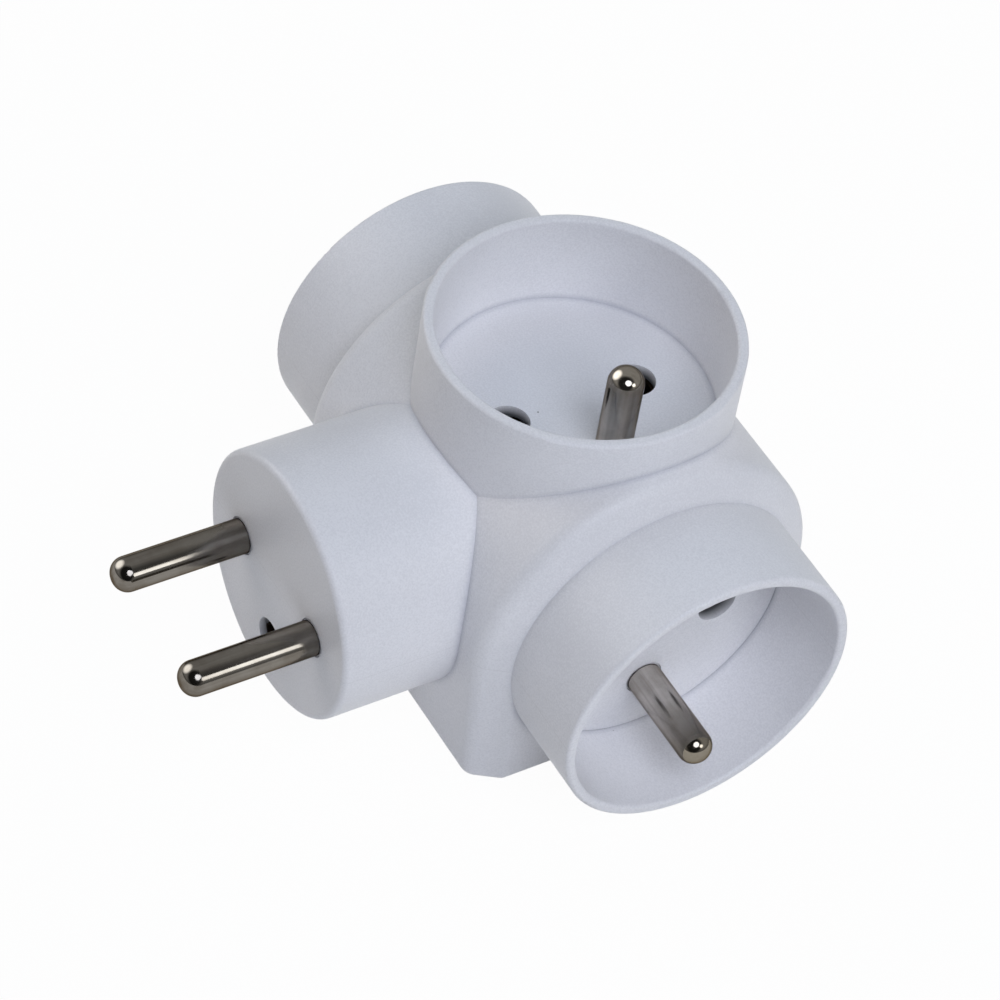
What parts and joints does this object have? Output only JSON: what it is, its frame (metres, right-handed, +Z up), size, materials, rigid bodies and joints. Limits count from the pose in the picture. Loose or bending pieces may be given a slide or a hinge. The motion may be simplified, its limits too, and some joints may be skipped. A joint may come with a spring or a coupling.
{
  "type": "multi socket adapter",
  "caption": "Multi socket mains adapter: a round-pin plug with an earth hole, and recessed round sockets with earth pins on the sides and top of an arched white moulded housing.",
  "frame": {"origin": "on the flat base, under the point where the axes of the plug and the sockets cross", "axes": "+Z up, the plug's pins point to -Y, the right socket faces +X and the left one -X"},
  "size_m": [0.0812, 0.085, 0.0554],
  "materials": {
    "white_plastic": "moulded, fine satin texture",
    "nickel_plate": "bright nickel plate",
    "spring_bronze": "stamped bronze",
    "brass_strip": "stamped brass",
    "zinc_steel": "zinc plated"
  },
  "bodies": {
    "root": {"upper_housing": "white_plastic", "lower_housing": "white_plastic", "socket_face_left": "white_plastic", "socket_face_right": "white_plastic", "line_pin": "nickel_plate", "neutral_pin": "nickel_plate", "earth_pin_left": "nickel_plate", "earth_pin_right": "nickel_plate", "earth_pin_top": "nickel_plate", "line_contact_left": "spring_bronze", "neutral_contact_left": "spring_bronze", "line_contact_right": "spring_bronze", "neutral_contact_right": "spring_bronze", "line_contact_top": "spring_bronze", "neutral_contact_top": "spring_bronze", "earth_receptacle": "spring_bronze", "line_busbar": "brass_strip", "neutral_busbar": "brass_strip", "earth_busbar": "brass_strip", "top_earth_link": "brass_strip", "housing_screws": "zinc_steel"}
  },
  "joints": []
}
